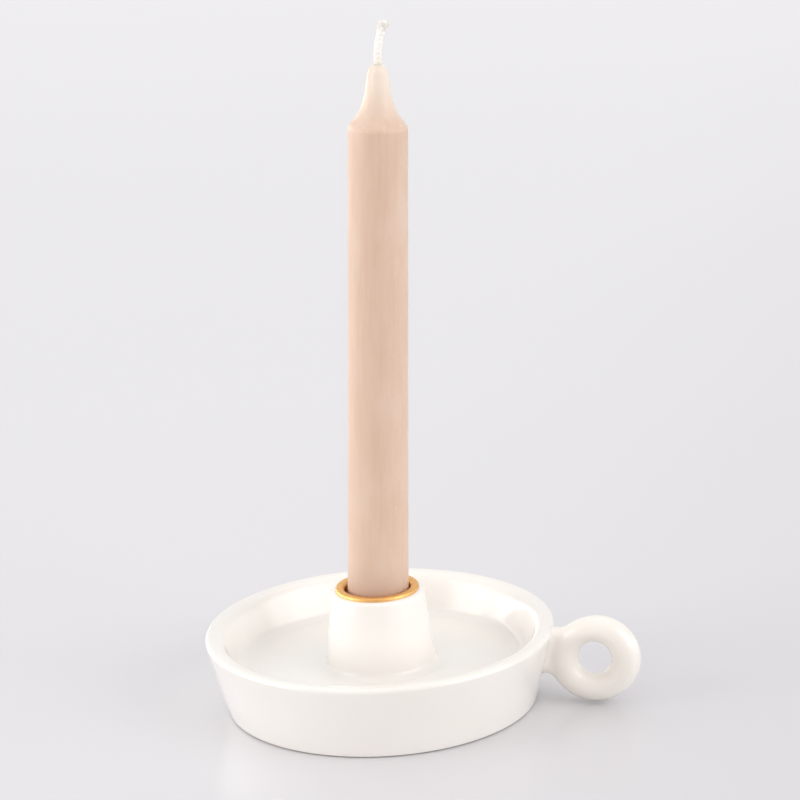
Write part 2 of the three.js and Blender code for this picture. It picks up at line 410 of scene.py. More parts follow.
@dataclass(frozen=True)
class Brass(Finish):
    """Spun brass with a light lacquer and a little tarnish."""

    name: str = "spun_brass"
    colour: Colour = (0.970, 0.770, 0.490)
    tarnish: Colour = (0.92, 0.66, 0.37)
    tarnish_share: float = 0.45
    patches: Mottle = Mottle(1.3, 4.0, (0.4, 0.72))
    roughness: Run = (0.4, 0.5)
    ring_pitch: float = 0.16
    ring_depth: float = 0.0016
    ring_slope: float = 0.7
    ring_share: float = 0.5
    sway: Mottle = Mottle(1.5, 2.0)
    sway_reach: float = 4.0

    def mix(self, recipe: Recipe) -> None:
        """Builds satin metal with spinning marks and darker patches.

        Args:
            recipe: The node tree that they go into.
        """
        place = recipe.place()
        x, y, z = recipe.axes(place)
        out = (x * x + y * y) ** 0.5
        sway = recipe.noise(place, self.sway)
        phase = (out + z * self.ring_slope) * (FULL_TURN / self.ring_pitch) + sway * self.sway_reach
        patches = recipe.mottle(place, self.patches)
        recipe.surface({
            "Base Color": recipe.blend(patches * self.tarnish_share, self.colour, self.tarnish),
            "Metallic": 1.0,
            "Roughness": patches.between(*self.roughness),
            "Normal": recipe.bump(phase.sine() * self.ring_share + sway, self.ring_depth),
        })


@dataclass(frozen=True)
class Wax(Finish):
    """Dipped candle wax: translucent, finely streaked along the candle, with a pale bloom."""

    name: str = "candle_wax"
    colour: Colour = (0.886, 0.780, 0.702)
    pale: Colour = (0.908, 0.820, 0.753)
    tip_pale: Colour = (0.947, 0.895, 0.843)
    deep: Colour = (0.866, 0.749, 0.665)
    bloom: Colour = (0.965, 0.925, 0.885)
    # Painted shade: the wax is darkened towards the candle's foot, just above the cup.
    foot_painted_shade: Colour = (0.828, 0.722, 0.652)
    streaks: Mottle = Mottle(1.1, 3.0, (0.35, 0.7), 0.5, (1.0, 1.0, 22.0))
    drift: Mottle = Mottle(9.0, 3.0, (0.4, 0.75), 0.6, (1.0, 1.0, 3.0))
    tip_run: Run = (-1.5, 17.0)
    # The heights over which the painted shade at the foot fades out.
    foot_run: Run = (16.0, 30.0)
    # A darker upright band on the tip's front left: where it lies across, how soft its sides are, how high
    # on the tip it shows and how strong it is.
    dark_band_at: float = -2.4
    dark_band_edge: Run = (0.1, 1.3)
    dark_band_run: Run = (2.0, 8.0)
    dark_band_share: float = 0.6
    frost: Mottle = Mottle(1.6, 5.0, (0.55, 0.74), 0.15)
    frost_side: Run = (2.0, 10.0)
    worn: Mottle = Mottle(2.2, 3.0, (0.5, 0.62), 0.4)
    worn_rise: float = 0.9
    worn_edge: Run = (0.1, 0.5)
    pores: Mottle = Mottle(0.5, 3.0, stretch=(1.0, 1.0, 3.0))
    pore_depth: float = 0.004
    streak_depth: float = 0.006
    smears: Mottle = Mottle(4.0, 3.0)
    roughness: Run = (0.34, 0.5)
    depth_share: float = 0.8
    depth: float = 1.4
    depth_colours: Colour = (1.0, 0.94, 0.88)
    coat: float = 0.08
    coat_roughness: float = 0.3
    foot: Vector = field(default_factory=Vector)
    lean: float = 0.0
    shoulder: float = 184.0

    def mix(self, recipe: Recipe) -> None:
        """Builds translucent wax whose marks follow the candle's own axis.

        Args:
            recipe: The node tree that they go into.
        """
        place = recipe.turned(recipe.place(self.foot), (0.0, -self.lean, 0.0))
        x, _, z = recipe.axes(place)
        rise = z - self.shoulder
        streaks = recipe.noise(place, self.streaks)
        tone = recipe.blend(self.streaks.mask(streaks), self.colour, self.deep)
        tone = recipe.blend(recipe.mottle(place, self.drift), tone, self.pale)
        tone = recipe.blend(rise.above(*self.tip_run), tone, self.tip_pale)
        # A darker upright band on the front left of the tip, where the tip's paler colour goes back to the
        # body's colour.
        drawn = 1.0 - (x - self.dark_band_at).size().above(*self.dark_band_edge)
        drawn = drawn * rise.above(*self.dark_band_run) * self.dark_band_share
        tone = recipe.blend(drawn, tone, self.colour)
        # Painted shade: darker towards the foot, over the lowest part of the candle that shows.
        tone = recipe.blend(1.0 - z.above(*self.foot_run), tone, self.foot_painted_shade)
        frost = recipe.mottle(place, self.frost) * x.above(*self.frost_side)
        edge = 1.0 - (rise - self.worn_rise).size().above(*self.worn_edge)
        worn = recipe.mottle(place, self.worn) * edge
        tone = recipe.blend(frost + worn, tone, self.bloom)
        normal = recipe.bump(recipe.noise(place, self.pores), self.pore_depth)
        recipe.surface({
            "Base Color": tone,
            "Roughness": recipe.noise(place, self.smears).between(*self.roughness),
            "Subsurface Weight": self.depth_share,
            "Subsurface Radius": self.depth_colours,
            "Subsurface Scale": self.depth * MM,
            "Coat Weight": self.coat,
            "Coat Roughness": self.coat_roughness,
            "Normal": recipe.bump(streaks, self.streak_depth, normal),
        })


@dataclass(frozen=True)
class Cotton(Finish):
    """Bleached cotton yarn, stained by wax near the candle."""

    name: str = "cotton_yarn"
    colour: Colour = (1.0, 0.992, 0.975)
    shade: Colour = (0.985, 0.960, 0.920)
    soaked: Colour = (0.985, 0.945, 0.890)
    soaked_share: float = 0.75
    soaked_run: Run = (2.5, 7.0)
    patches: Mottle = Mottle(0.7, 2.0)
    patch_reach: float = 3.0
    fibre: Mottle = Mottle(0.12, 3.0, (0.4, 0.75), 0.35, (1.0, 1.0, 5.0))
    fibre_depth: float = 0.005
    roughness: Run = (0.92, 0.52)
    sheen: float = 0.4
    sheen_roughness: float = 0.5
    wax_line: float = 231.0

    def mix(self, recipe: Recipe) -> None:
        """Builds matt fibre with a waxed lower end.

        Args:
            recipe: The node tree that they go into.
        """
        place = recipe.place()
        rise = recipe.axes(place)[2] - self.wax_line
        fibre = recipe.noise(place, self.fibre)
        patches = recipe.noise(place, self.patches) * self.patch_reach
        soaked = 1.0 - (rise + patches).above(*self.soaked_run)
        tone = recipe.blend(self.fibre.mask(fibre), self.colour, self.shade)
        recipe.surface({
            "Base Color": recipe.blend(soaked * self.soaked_share, tone, self.soaked),
            "Roughness": soaked.between(*self.roughness),
            "Sheen Weight": self.sheen,
            "Sheen Roughness": self.sheen_roughness,
            "Normal": recipe.bump(fibre, self.fibre_depth),
        })


@dataclass(frozen=True)
class Felt(Finish):
    """Pressed wool felt."""

    name: str = "wool_felt"
    colour: Colour = (0.585, 0.545, 0.490)
    light: Colour = (0.690, 0.650, 0.590)
    dark: Colour = (0.450, 0.410, 0.360)
    fibre: Mottle = Mottle(0.55, 6.0, (0.42, 0.68))
    tufts: Mottle = Mottle(3.2, 4.0, (0.5, 0.75), 0.6)
    tuft_height: float = 0.5
    nap_depth: float = 0.22
    roughness: float = 0.96
    sheen: float = 0.4
    sheen_roughness: float = 0.6

    def mix(self, recipe: Recipe) -> None:
        """Builds matted fibre in three shades of wool.

        Args:
            recipe: The node tree that they go into.
        """
        place = recipe.place()
        fibre = recipe.noise(place, self.fibre)
        tufts = recipe.noise(place, self.tufts)
        tone = recipe.blend(self.fibre.mask(fibre), self.colour, self.light)
        recipe.surface({
            "Base Color": recipe.blend(self.tufts.mask(tufts), tone, self.dark),
            "Roughness": self.roughness,
            "Sheen Weight": self.sheen,
            "Sheen Roughness": self.sheen_roughness,
            "Normal": recipe.bump(fibre + tufts * self.tuft_height, self.nap_depth),
        })


@dataclass(frozen=True)
class Beech(Finish):
    """Bare beech with its grain along the peg."""

    name: str = "bare_beech"
    colour: Colour = (0.835, 0.680, 0.500)
    dark: Colour = (0.690, 0.505, 0.330)
    grain: Mottle = Mottle(0.5, 4.0, (0.35, 0.7), 0.7, (14.0, 1.0, 1.0))
    grain_depth: float = 0.04
    flecks: Mottle = Mottle(0.22, 1.0, (0.62, 0.72), 0.5, (7.0, 1.0, 1.0))
    roughness: Run = (0.55, 0.7)

    def mix(self, recipe: Recipe) -> None:
        """Builds lengthwise grain with short dark flecks.

        Args:
            recipe: The node tree that they go into.
        """
        place = recipe.place()
        grain = recipe.noise(place, self.grain)
        tone = recipe.blend(self.grain.mask(grain), self.colour, self.dark)
        recipe.surface({
            "Base Color": recipe.blend(recipe.mottle(place, self.flecks), tone, self.dark),
            "Roughness": grain.between(*self.roughness),
            "Normal": recipe.bump(grain, self.grain_depth),
        })


# ---- outlines


@dataclass(frozen=True)
class Corner:
    """A corner of a turned outline: its radius and height, and how much it is rounded."""

    out: float
    height: float
    round: float = 0.0

    @property
    def point(self) -> Vector:
        """The corner's place in the outline's plane."""
        return Vector((self.out, self.height))


def rounded(corners: Sequence[Corner], facets: int = 8) -> Outline:
    """Rounds an outline's corners with arcs.

    Args:
        corners: The corners in order.
        facets: The straight pieces in each arc.

    Returns:
        The outline's points.
    """
    line: list[Vector] = []
    for i, corner in enumerate(corners):
        here = corner.point
        if not corner.round or i in (0, len(corners) - 1):
            line.append(here)
            continue
        sides = [other.point - here for other in (corners[i - 1], corners[i + 1])]
        room = [
            side.length * (SHARED_SIDE if other.round else WHOLE_SIDE)
            for side, other in zip(sides, (corners[i - 1], corners[i + 1]))
        ]
        half = sides[0].angle(sides[1]) / 2
        reach = min(corner.round / math.tan(half), *room)
        back, ahead = (side.normalized() for side in sides)
        radius = reach * math.tan(half)
        centre = here + (back + ahead).normalized() * math.hypot(radius, reach)
        start, end = here + back * reach - centre, here + ahead * reach - centre
        sweep = end.angle_signed(start)
        first = math.atan2(start.y, start.x)
        for k in range(facets + 1):
            angle = first + sweep * k / facets
            line.append(centre + Vector((math.cos(angle), math.sin(angle))) * radius)
    return [(p.x, p.y) for p in line]


def bezier(points: Sequence[tuple[float, float]], facets: int) -> Outline:
    """Follows a cubic Bezier curve.

    Args:
        points: Its start, two pulls and end.
        facets: The straight pieces that it is made of.

    Returns:
        The points on the curve, with both ends.
    """
    a, b, c, d = (Vector(p) for p in points)
    line = []
    for k in range(facets + 1):
        t = k / facets
        s = 1 - t
        p = a * s**3 + b * (3 * s * s * t) + c * (3 * s * t * t) + d * t**3
        line.append((p.x, p.y))
    return line


def divided(outline: Outline, longest: float) -> Outline:
    """Divides an outline's straight pieces that are longer than a length.

    Args:
        outline: The points.
        longest: The length.

    Returns:
        The points with more between them.
    """
    line = [outline[0]]
    for start, end in zip(outline, outline[1:]):
        a, b = Vector(start), Vector(end)
        parts = max(1, math.ceil((b - a).length / longest))
        line += [tuple(a.lerp(b, k / parts)) for k in range(1, parts + 1)]
    return line


# ---- the bench


@dataclass(frozen=True)
class Strand:
    """The section of what is drawn along a path, and how it tapers towards its end."""

    radius: float
    sides: int
    steps: int
    taper: float = 0.0
    power: int = 1

    def share(self, way: float) -> float:
        """Gives the section's share of its full width at a share of the way."""
        return 1.0 - self.taper * way**self.power


class Workpiece:
    """A mesh on the bench: a primitive that operators shape into a piece. Lengths are in mm."""

    def __init__(self, name: str) -> None:
        """Takes the object that an operator has just added, and names it.

        Args:
            name: The piece's name.
        """
        self.shape = bpy.context.object
        self.shape.name = name
        self.shape.data.name = name

    # ---- starting

    @staticmethod
    def clear() -> None:
        """Deselects everything, so that operators act only on what is added next."""
        if bpy.context.object and bpy.context.object.mode != "OBJECT":
            bpy.ops.object.mode_set(mode="OBJECT")
        bpy.ops.object.select_all(action="DESELECT")

    @classmethod
    def line(cls, name: str, places: Sequence[Vector]) -> "Workpiece":
        """Merges a small square to a point and extrudes that from place to place.

        Args:
            name: The piece's name.
            places: The places.

        Returns:
            The workpiece, in edit mode.
        """
        cls.clear()
        bpy.ops.mesh.primitive_plane_add(size=MM, location=(0, 0, 0))
        work = cls(name)
        work.edit()
        bpy.ops.mesh.merge(type="CENTER")
        bpy.ops.transform.translate(value=places[0] * MM)
        for here, there in zip(places, places[1:]):
            bpy.ops.mesh.extrude_vertices_move(TRANSFORM_OT_translate={"value": (there - here) * MM})
        return work

    @classmethod
    def circle(cls, name: str, radius: float, sides: int, centre: Vector, fill: bool = True) -> "Workpiece":
        """Starts with a level circle.

        Args:
            name: The piece's name.
            radius: The circle's radius.
            sides: Its sides.
            centre: Its centre.
            fill: Whether it is a face or only a ring of edges.

        Returns:
            The workpiece, in edit mode, with all of it selected.
        """
        cls.clear()
        bpy.ops.mesh.primitive_circle_add(
            vertices=sides, radius=radius * MM, fill_type="NGON" if fill else "NOTHING", location=(0, 0, 0)
        )
        work = cls(name)
        work.edit()
        bpy.ops.transform.translate(value=centre * MM)
        return work

    @classmethod
    def turned(cls, name: str, outline: Outline, steps: int) -> "Workpiece":
        """Turns an outline about Z.

        Args:
            name: The piece's name.
            outline: The radius and height of each point.
            steps: The steps round the circle.

        Returns:
            The closed workpiece.
        """
        work = cls.line(name, [Vector((out, 0, height)) for out, height in outline])
        work.spin(steps, Vector(), (0, 0, 1))
        return work

    @classmethod
    def rod(cls, name: str, strand: Strand, path: Callable[[float], Vector]) -> "Workpiece":
        """Extrudes a flat circle upwards along a path.

        Args:
            name: The piece's name.
            strand: Its section and steps.
            path: Its centre at a share of the way, from 0 to 1.

        Returns:
            The closed workpiece.
        """
        here = path(0.0)
        work = cls.circle(name, strand.radius, strand.sides, here)
        for k in range(1, strand.steps + 1):
            there = path(k / strand.steps)
            cls.extrude(there - here)
            cls.widen(strand.share(k / strand.steps) / strand.share((k - 1) / strand.steps), there)
            here = there
        work.close()
        return work

    # ---- modes and selections

    def alone(self) -> None:
        """Selects this piece alone, in object mode."""
        self.clear()
        self.shape.select_set(True)
        bpy.context.view_layer.objects.active = self.shape

    def edit(self) -> None:
        """Goes into edit mode on this piece alone, with all of it selected."""
        self.alone()
        bpy.ops.object.mode_set(mode="EDIT")
        bpy.ops.mesh.select_all(action="SELECT")

    def select(self, wanted: Callable[[Vector], bool], part: Part) -> None:
        """Selects parts of the mesh by place, in edit mode.

        Args:
            wanted: Says whether a part with its middle at a place is wanted.
            part: The kind of part.
        """
        bpy.ops.mesh.select_mode(type=part.value)
        bpy.ops.mesh.select_all(action="DESELECT")
        mesh = bmesh.from_edit_mesh(self.shape.data)
        if part is Part.POINTS:
            middles = [(vertex, vertex.co) for vertex in mesh.verts]
        else:
            middles = [(face, face.calc_center_median()) for face in mesh.faces]
        for each, middle in middles:
            if wanted(middle / MM):
                each.select_set(True)
        mesh.select_flush_mode()
        bmesh.update_edit_mesh(self.shape.data)

    def close(self) -> None:
        """Merges doubles, drops loose bits and turns every face outwards, and leaves edit mode."""
        bpy.ops.mesh.select_mode(type="VERT")
        bpy.ops.mesh.select_all(action="SELECT")
        bpy.ops.mesh.remove_doubles(threshold=WELD * MM)
        bpy.ops.mesh.dissolve_degenerate(threshold=SLIVER * MM)
        bpy.ops.mesh.select_all(action="SELECT")
        bpy.ops.mesh.normals_make_consistent(inside=False)
        bpy.ops.object.mode_set(mode="OBJECT")

    # ---- shaping

    @staticmethod
    def extrude(by: Vector) -> None:
        """Extrudes the selected faces."""
        bpy.ops.mesh.extrude_region_move(TRANSFORM_OT_translate={"value": by * MM})

    @staticmethod
    def widen(share: float, centre: Vector) -> None:
        """Scales what is selected in X and Y about a centre."""
        if share != 1.0:
            bpy.ops.transform.resize(value=(share, share, 1), center_override=centre * MM)

    def spin(self, steps: int, centre: Vector, axis: Triple) -> None:
        """Spins the whole mesh right round an axis and closes it.

        Args:
            steps: The steps round the circle.
            centre: A point on the axis.
            axis: The axis's direction.
        """
        bpy.ops.mesh.select_all(action="SELECT")
        bpy.ops.mesh.spin(steps=steps, angle=FULL_TURN, center=centre * MM, axis=axis)
        self.close()

    def modify(self, kind: str, **settings: Any) -> None:
        """Adds a modifier and applies it.

        Args:
            kind: The modifier's type.
            settings: Its properties.
        """
        self.alone()
        modifier = self.shape.modifiers.new(kind.lower(), kind)
        for name, value in settings.items():
            setattr(modifier, name, value)
        bpy.ops.object.modifier_apply(modifier=modifier.name)

    def displace(self, weight: Weight, **settings: Any) -> None:
        """Moves the surface along its normals.

        Args:
            weight: The share of the movement at a place.
            settings: The Displace modifier's properties.
        """
        group = self.shape.vertex_groups.new(name="share")
        for vertex in self.shape.data.vertices:
            group.add([vertex.index], climb(weight(vertex.co / MM), 0.0, 1.0), "REPLACE")
        self.modify("DISPLACE", vertex_group=group.name, **settings)
        self.shape.vertex_groups.clear()

    def swell(self, amount: float, weight: Weight) -> None:
        """Pushes the surface out by an amount where the weight is 1."""
        self.displace(weight, strength=amount * MM, mid_level=0.0)

    def waver(self, depth: float, grain: float, weight: Weight = lambda place: 1.0) -> None:
        """Gives a surface the slight waviness of hand work.

        Args:
            depth: How far it wanders from its true shape.
            grain: The size of its waves.
            weight: The share of the depth at a place.
        """
        clouds = bpy.data.textures.new(f"{self.shape.name}_waver", "CLOUDS")
        clouds.noise_basis = "IMPROVED_PERLIN"
        clouds.noise_scale = grain * MM
        clouds.noise_depth = 1
        self.displace(
            weight, strength=2 * depth * MM, mid_level=0.5, texture=clouds, texture_coords="LOCAL"
        )

    def slice(self, place: Vector, normal: Vector) -> None:
        """Cuts the piece flat, throws away what lies behind the cut and closes it.

        Args:
            place: A point on the cut.
            normal: The cut's normal.
        """
        self.edit()
        bpy.ops.mesh.bisect(plane_co=place * MM, plane_no=normal, use_fill=True, clear_inner=True)
        bpy.ops.object.mode_set(mode="OBJECT")

    def bore(self, tool: "Workpiece") -> None:
        """Cuts another workpiece's shape out of this one, and scraps the tool."""
        self.modify("BOOLEAN", operation="DIFFERENCE", solver="EXACT", object=tool.shape)
        bpy.data.objects.remove(tool.shape)

    def join(self, others: "Sequence[Workpiece]") -> None:
        """Makes one mesh of this piece and others.

        Args:
            others: The other pieces.
        """
        self.alone()
        for work in others:
            work.shape.select_set(True)
        bpy.ops.object.join()

    def settle(self) -> None:
        """Puts the object's place, turn and size into its mesh."""
        self.alone()
        bpy.ops.object.transform_apply(location=True, rotation=True, scale=True)

    # ---- finishing

    def finish(
        self, finish: Finish, slot: Slot, body: Body, node: str, sharp: float = 38.0
    ) -> bpy.types.Object:
        """Smooths and dresses the piece, and fits it to its body.

        Args:
            finish: Its finish.
            slot: The record's material slot; not used.
            body: The body that it rides on.
            node: The frame node that it stands for.
            sharp: Edges that turn by more than this many degrees stay sharp.

        Returns:
            The finished object.
        """
        self.settle()
        bpy.ops.object.shade_smooth_by_angle(angle=math.radians(sharp))
        self.shape.data.materials.clear()
        self.shape.data.materials.append(finish.material())
        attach(self.shape, body.value)
        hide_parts(node)
        return self.shape


# ---- the wooden holder


@dataclass
class Dish:
    """The turned dish: a flared wall round a sunk floor, with a mortise for the post."""

    rim_radius: float = 63.6
    rim_proud: float = 0.15
    flare: float = 7.4
    lip_width: float = 6.3
    lip_fall: float = 0.6
    inside_fall: float = 5.8
    floor_height: float = 14.3
    base_round: float = 0.7
    rim_round: float = 1.6
    lip_round: float = 4.6
    floor_round: float = 4.2
    cut_round: float = 0.3
    mortise_radius: float = 9.1
    mortise_floor: float = 4.9
    recess_margin: float = 6.0
    recess_ceiling: float = 1.7
    peg_play: float = 0.1
    waver_depth: float = 0.085
    waver_grain: float = 19.0
    waver_out: Run = (44.0, 53.0)
    waver_up: Run = (3.0, 9.0)
    facet: float = 1.7
    steps: int = 168
    base: float = field(init=False)
    rim: float = field(init=False)

    def __post_init__(self) -> None:
        """Takes the heights from the frame."""
        low, high = span("dish")
        self.base = low.z
        self.rim = high.z + self.rim_proud

    @property
    def base_radius(self) -> float:
        """The outside radius at the bottom edge."""
        return self.rim_radius - self.flare

    @property
    def slope(self) -> float:
        """The wall's lean outwards, in radians from upright."""
        return math.atan2(self.flare, self.rim - self.base)

    def wall_radius(self, height: float) -> float:
        """Gives the wall's outside radius at a height."""
        return self.base_radius + self.flare * (height - self.base) / (self.rim - self.base)

    def corners(self) -> list[Corner]:
        """Lists the outline's corners, from the recess for the felt round to the mortise.

        Returns:
            The corners in order.
        """
        lip_inner = self.rim_radius - self.lip_width
        recess = self.base_radius - self.recess_margin
        return [
            Corner(0, self.recess_ceiling),
            Corner(recess, self.recess_ceiling),
            Corner(recess, self.base, self.cut_round),
            Corner(self.base_radius, self.base, self.base_round),
            Corner(self.rim_radius, self.rim, self.rim_round),
            Corner(lip_inner, self.rim - self.lip_fall, self.lip_round),
            Corner(lip_inner - self.inside_fall, self.floor_height, self.floor_round),
            Corner(self.mortise_radius, self.floor_height, self.cut_round),
            Corner(self.mortise_radius, self.mortise_floor),
            Corner(0, self.mortise_floor),
        ]

    def waviness(self, place: Vector) -> float:
        """Gives the share of the full waviness at a place: none on the floor and the underside."""
        return climb(math.hypot(place.x, place.y), *self.waver_out) * climb(place.z, *self.waver_up)

    def build(self) -> bpy.types.Object:
        """Turns the dish, bores its peg hole and lacquers it.

        Returns:
            The finished dish.
        """
        work = Workpiece.turned("turned_dish", divided(rounded(self.corners()), self.facet), self.steps)
        work.waver(self.waver_depth, self.waver_grain, self.waviness)
        work.bore(PegDrill(self.peg_play).bit(before=self.peg_play))
        return work.finish(Lacquer(), Slot.LACQUER, Body.HOLDER, "dish")


@dataclass
class PegDrill:
    """The drill that makes room for the handle's level round peg."""

    play: float
    sides: int = 40

    def bit(self, before: float = 0.0, after: float = 0.0) -> Workpiece:
        """Makes a plain level cylinder round the peg's place.

        Args:
            before: How much further it reaches than the peg, towards the dish's axis.
            after: How much further it reaches than the peg, towards the ring.

        Returns:
            The closed workpiece.
        """
        low, high = span("handle_dowel")
        radius = (high.z - low.z) / 2 + self.play
        start, end = low.x - before, high.x + after
        centre = Vector((0, 0, (low.z + high.z) / 2))
        corners = ((start, 0), (start, radius), (end, radius), (end, 0))
        work = Workpiece.line("drill", [centre + Vector((x, y, 0)) for x, y in corners])
        work.spin(self.sides, centre, (1, 0, 0))
        return work


@dataclass
class SocketPost:
    """The tapered post: a tenon below, a soft foot that runs out into the floor, a bore for the cup."""

    top_radius: float = 16.6
    taper: float = 3.35
    foot_reach: float = 2.9
    foot_round: float = 3.1
    foot_lip: float = 0.03
    top_round: float = 1.7
    land_fall: float = 0.1
    bore_play: float = 0.1
    bore_round: float = 0.4
    tenon_radius: float = 9.0
    tenon_chamfer: float = 0.8
    pilot_radius: float = 1.2
    pilot_depth: float = 9.5
    waver_depth: float = 0.03
    waver_grain: float = 12.0
    waver_up: Run = (3.0, 9.0)
    facet: float = 1.6
    steps: int = 128

    def build(self, dish: Dish) -> bpy.types.Object:
        """Turns the post and lacquers it.

        Args:
            dish: The dish that it stands in.

        Returns:
            The finished post.
        """
        low, high = span("socket_post")
        bore = BrassCup().outer + self.bore_play
        bore_floor = span("candle_cup")[0].z - self.bore_play
        floor = dish.floor_height
        waist = self.top_radius + self.taper
        corners = [
            Corner(0, low.z),
            Corner(self.tenon_radius, low.z, self.tenon_chamfer),
            Corner(self.tenon_radius, floor - self.foot_lip),
            Corner(waist + self.foot_reach, floor - self.foot_lip),
            Corner(waist + self.foot_reach, floor + self.foot_lip),
            Corner(waist, floor + self.foot_lip, self.foot_round),
            Corner(self.top_radius, high.z - self.land_fall, self.top_round),
            Corner(bore, high.z - self.land_fall, self.bore_round),
            Corner(bore, bore_floor),
            Corner(self.pilot_radius, bore_floor),
            Corner(self.pilot_radius, bore_floor - self.pilot_depth),
            Corner(0, bore_floor - self.pilot_depth - self.pilot_radius),
        ]
        work = Workpiece.turned("socket_post_turned", divided(rounded(corners), self.facet), self.steps)
        work.waver(self.waver_depth, self.waver_grain, lambda place: climb(place.z - floor, *self.waver_up))
        return work.finish(Lacquer(), Slot.LACQUER, Body.HOLDER, "socket_post")


@dataclass
class FingerRing:
    """The finger ring: a full round ring that grows out of a thinner neck fixed to the wall."""

    section_radius: float = 4.92
    section_sides: int = 36
    steps: int = 96
    top_flat: float = 0.9
    side_swell: float = 0.43
    neck_core: float = 1.6
    neck_thickness: float = 8.3
    neck_edge: float = 3.4
    neck_steps: int = 8
    neck_top: float = 27.3
    neck_bottom: float = 11.8
    flat_angle: float = 122.0
    flat_power: int = 6
    top_angle: float = 124.0
    bottom_angle: float = 249.0
    top_pull: float = 3.0
    bottom_pull: float = 3.9
    wall_pull: float = 2.2
    wall_rise: float = 0.5
    bottom_wall_pull: float = 4.3
    edge_facets: int = 14
    inner_share: float = 0.48
    inner_facets: int = 16
    seam_sink: float = 0.45
    end_turn: float = 13.0
    end_facets: int = 10
    root_depth: float = 5.0
    fillet: float = 0.7
    fillet_reach: float = 1.1
    fillet_power: float = 1.5
    joint_depth: float = 0.9
    voxel: float = 0.28
    smoothing: int = 30
    # Painted shade: the ring wears a warmer, slightly darker copy of the dish's lacquer, standing in for
    # the beige shading on the ring.
    finish: Lacquer = Lacquer(colour=(0.976, 0.962, 0.940), shade=(0.960, 0.939, 0.909), rings=False)
    centre: Vector = field(init=False)
    outer: float = field(init=False)

    def __post_init__(self) -> None:
        """Takes the ring's centre and outer radius from the frame."""
        low, high = span("handle_ring")
        self.outer = (high.z - low.z) / 2
        self.centre = Vector((high.x - self.outer, 0, (low.z + high.z) / 2))

    def _round(self) -> Workpiece:
        """Spins the ring's round section about its hole and fills out both sides of it.

        Returns:
            The closed ring.
        """
        reach = self.outer - self.section_radius
        section = self.centre + Vector((reach, 0, 0))
        work = Workpiece.circle("ring_round", self.section_radius, self.section_sides, section, fill=False)
        work.spin(self.steps, self.centre, (0, 1, 0))

        def at_sides(place: Vector) -> float:
            """Gives 1 at the ring's left and right and 0 at its top and bottom."""
            away = place - self.centre
            return away.x**2 / (away.x**2 + away.z**2)

        def over_neck(place: Vector) -> float:
            """Gives 1 on the outside of the ring above its neck.

            Args:
                place: A place on the ring.

            Returns:
                The share of the flat there.
            """
            away = place - self.centre
            turn = math.atan2(away.z, away.x) - math.radians(self.flat_angle)
            outwards = (math.hypot(away.x, away.z) - reach) / self.section_radius
            return max(0.0, outwards) * max(0.0, math.cos(turn)) ** self.flat_power

        work.swell(self.side_swell, at_sides)
        work.swell(-self.top_flat, over_neck)
        return work

    def _beside(self, start: tuple[float, float], degrees: float, reach: float) -> tuple[float, float]:
        """Gives the point, as X and Z, that lies off another in a direction."""
        turn = math.radians(degrees)
        return start[0] + math.cos(turn) * reach, start[1] + math.sin(turn) * reach

    def _on_ring(self, degrees: float, radius: float) -> tuple[float, float]:
        """Gives the point, as X and Z, at an angle and radius from the ring's centre."""
        return self._beside((self.centre.x, self.centre.z), degrees, radius)

    def _round_end(self, degrees: float, outer: float, inner: float, beyond: float) -> Outline:
        """Rounds off one of the neck's ends, inside the ring.

        Args:
            degrees: Where the end starts round the ring.
            outer: The radius that it starts at.
            inner: The radius that it stops at.
            beyond: How many degrees further it reaches.

        Returns:
            Its points, from the outer to the inner radius.
        """
        middle, half = (outer + inner) / 2, (outer - inner) / 2
        turns = [math.pi * k / self.end_facets for k in range(1, self.end_facets)]
        return [
            self._on_ring(degrees + beyond * math.sin(turn), middle + half * math.cos(turn))
            for turn in turns
        ]

    def _neck_outline(self, dish: Dish) -> Outline:
        """Draws the neck's side view.

        Args:
            dish: The dish whose wall it meets.

        Returns:
            Its points in X and Z, ending where the closing line starts.
        """
        top_wall = (dish.wall_radius(self.neck_top), self.neck_top)
        bottom_wall = (dish.wall_radius(self.neck_bottom), self.neck_bottom)
        edge = self.outer - self.seam_sink
        top = self._on_ring(self.top_angle, edge - self.top_flat)
        bottom = self._on_ring(self.bottom_angle, edge)
        inside = self.outer * self.inner_share
        lower = bezier([
            bottom_wall,
            (bottom_wall[0] + self.bottom_wall_pull, bottom_wall[1]),
            self._beside(bottom, self.bottom_angle - 90, self.bottom_pull),
            bottom,
        ], self.edge_facets)
        upper = bezier([
            top,
            self._beside(top, self.top_angle + 90, self.top_pull),
            (top_wall[0] + self.wall_pull, top_wall[1] + self.wall_pull * self.wall_rise),
            top_wall,
        ], self.edge_facets)
        turn = (self.top_angle - self.bottom_angle) / self.inner_facets
        inner = [self._on_ring(self.bottom_angle + turn * k, inside) for k in range(self.inner_facets + 1)]
        lower_end = self._round_end(self.bottom_angle, edge, inside, self.end_turn)
        upper_end = self._round_end(self.top_angle, edge - self.top_flat, inside, -self.end_turn)
        start = (bottom_wall[0] - self.root_depth, bottom_wall[1])
        end = (top_wall[0] - self.root_depth, top_wall[1])
        return [start, *lower, *lower_end, *inner, *reversed(upper_end), *upper, end]

